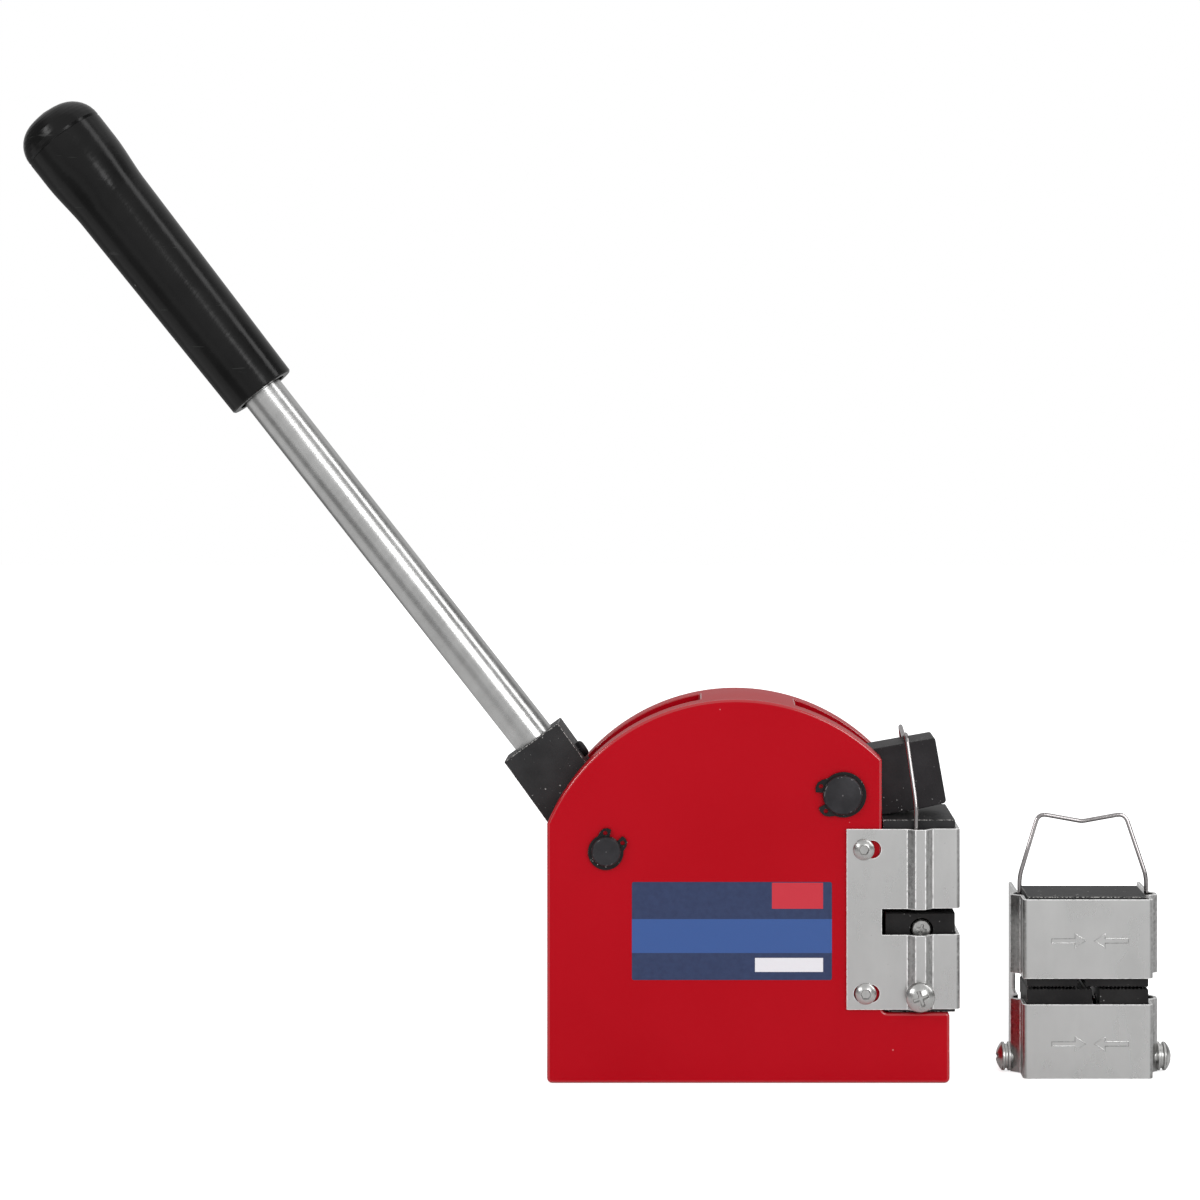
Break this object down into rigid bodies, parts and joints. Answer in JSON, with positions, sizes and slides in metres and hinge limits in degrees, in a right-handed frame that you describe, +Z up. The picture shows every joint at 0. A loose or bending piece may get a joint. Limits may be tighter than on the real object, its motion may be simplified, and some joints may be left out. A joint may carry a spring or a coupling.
{
  "type": "shrinker stretcher",
  "caption": "Bench shrinker stretcher: red arched body with a hand lever, a cam-driven rocker that presses a sprung jaw set, and a spare jaw set beside it.",
  "frame": {"origin": "middle of the body's foot, on the surface it stands on", "axes": "+X from the lever at the back to the jaws at the front, +Z up, Y across the body"},
  "size_m": [0.4762, 0.0724, 0.4024],
  "materials": {
    "red_paint": "gloss red enamel",
    "black_oxide": "black oxide, oiled",
    "jaw_steel": "hardened, black",
    "black_plastic": "gloss black moulding",
    "bright_tube": "bright plated, slightly pitted",
    "zinc_sheet": "zinc-plated sheet, satin",
    "zinc_screws": "bright zinc",
    "spring_wire": "bright drawn wire"
  },
  "bodies": {
    "body": {"frame": "red_paint", "lever_pin": "black_oxide", "lever_circlips": "black_oxide", "rocker_pin": "black_oxide", "rocker_circlips": "black_oxide", "spring_eye": "zinc_screws", "return_spring": "spring_wire", "cage": "zinc_sheet", "cage_screws": "zinc_screws", "clamp_screws": "zinc_screws", "clamp_washers": "zinc_screws", "spring_washers": "zinc_screws", "lower_block": "black_oxide"},
    "lever": {"lever_block": "black_oxide", "handle_screw": "black_oxide", "handle_tube": "bright_tube", "handle_grip": "black_plastic"},
    "rocker": {"rocker_arm": "black_oxide", "spring_pin": "zinc_screws"},
    "upper_die": {"upper_block": "black_oxide", "bail": "spring_wire"},
    "upper_left_jaw": {"upper_jaw_left": "jaw_steel", "upper_tie_spring": "spring_wire"},
    "upper_right_jaw": {"upper_jaw_right": "jaw_steel", "upper_tie_screw": "zinc_screws"},
    "lower_left_jaw": {"lower_jaw_left": "jaw_steel", "lower_tie_spring": "spring_wire"},
    "lower_right_jaw": {"lower_jaw_right": "jaw_steel", "lower_tie_screw": "zinc_screws"},
    "spare_set": {"spare_cage": "zinc_sheet", "spare_clamp_screws": "zinc_screws", "spare_clamp_washers": "zinc_screws", "spare_spring_washers": "zinc_screws", "spare_lower_block": "black_oxide"},
    "spare_upper_die": {"spare_upper_block": "black_oxide", "spare_bail": "spring_wire"},
    "spare_upper_left_jaw": {"spare_upper_jaw_left": "jaw_steel", "spare_upper_spring": "spring_wire"},
    "spare_upper_right_jaw": {"spare_upper_jaw_right": "jaw_steel"},
    "spare_lower_left_jaw": {"spare_lower_jaw_left": "jaw_steel", "spare_lower_spring": "spring_wire"},
    "spare_lower_right_jaw": {"spare_lower_jaw_right": "jaw_steel"}
  },
  "joints": [
    {"name": "lever_pivot", "type": "hinge", "parent": "body", "child": "lever", "pos_m": [-0.0578, 0, 0.0946], "axis": [0, 1, 0], "range_deg": [0, 50]},
    {"name": "rocker_pivot", "type": "hinge", "parent": "body", "child": "rocker", "pos_m": [0.0383, 0, 0.1175], "axis": [0, 1, 0], "range_deg": [0, 12], "deforming": ["return_spring"]},
    {"name": "upper_block_slide", "type": "slide", "parent": "body", "child": "upper_die", "axis": [0, 0, -1], "range_m": [0, 0.00406]},
    {"name": "upper_left_jaw_slide", "type": "slide", "parent": "upper_die", "child": "upper_left_jaw", "axis": [0, -0.9063, 0.4226], "range_m": [0, 0.00143], "deforming": ["upper_tie_spring"]},
    {"name": "upper_right_jaw_slide", "type": "slide", "parent": "upper_die", "child": "upper_right_jaw", "axis": [0, 0.9063, 0.4226], "range_m": [0, 0.00143]},
    {"name": "lower_left_jaw_slide", "type": "slide", "parent": "body", "child": "lower_left_jaw", "axis": [0, -0.9063, -0.4226], "range_m": [0, 0.00143], "deforming": ["lower_tie_spring"]},
    {"name": "lower_right_jaw_slide", "type": "slide", "parent": "body", "child": "lower_right_jaw", "axis": [0, 0.9063, -0.4226], "range_m": [0, 0.00143]},
    {"name": "spare_lift", "type": "slide", "parent": "body", "child": "spare_set", "axis": [0, 0, 1], "range_m": [0, 0.12]},
    {"name": "spare_press", "type": "slide", "parent": "spare_set", "child": "spare_upper_die", "axis": [0, 0, -1], "range_m": [0, 0.00121], "stiffness_N_per_m": 4000, "springref_m": -0.003},
    {"name": "spare_upper_left_jaw_slide", "type": "slide", "parent": "spare_upper_die", "child": "spare_upper_left_jaw", "axis": [0.9063, 0, 0.4226], "range_m": [0, 0.00143], "deforming": ["spare_upper_spring"]},
    {"name": "spare_upper_right_jaw_slide", "type": "slide", "parent": "spare_upper_die", "child": "spare_upper_right_jaw", "axis": [-0.9063, 0, 0.4226], "range_m": [0, 0.00143]},
    {"name": "spare_lower_left_jaw_slide", "type": "slide", "parent": "spare_set", "child": "spare_lower_left_jaw", "axis": [0.9063, 0, -0.4226], "range_m": [0, 0.00143], "deforming": ["spare_lower_spring"]},
    {"name": "spare_lower_right_jaw_slide", "type": "slide", "parent": "spare_set", "child": "spare_lower_right_jaw", "axis": [-0.9063, 0, -0.4226], "range_m": [0, 0.00143]}
  ],
  "couplings": [
    {"joint": "rocker_pivot", "follows": "lever_pivot", "ratio": 0.24},
    {"joint": "upper_block_slide", "follows": "lever_pivot", "m_per_rad": 0.0046524},
    {"joint": "upper_left_jaw_slide", "follows": "lever_pivot", "m_per_rad": 0.0016437},
    {"joint": "upper_right_jaw_slide", "follows": "lever_pivot", "m_per_rad": 0.0016437},
    {"joint": "lower_left_jaw_slide", "follows": "lever_pivot", "m_per_rad": 0.0016437},
    {"joint": "lower_right_jaw_slide", "follows": "lever_pivot", "m_per_rad": 0.0016437},
    {"joint": "spare_upper_left_jaw_slide", "follows": "spare_press", "ratio": 1.1831},
    {"joint": "spare_upper_right_jaw_slide", "follows": "spare_press", "ratio": 1.1831},
    {"joint": "spare_lower_left_jaw_slide", "follows": "spare_press", "ratio": 1.1831},
    {"joint": "spare_lower_right_jaw_slide", "follows": "spare_press", "ratio": 1.1831}
  ]
}
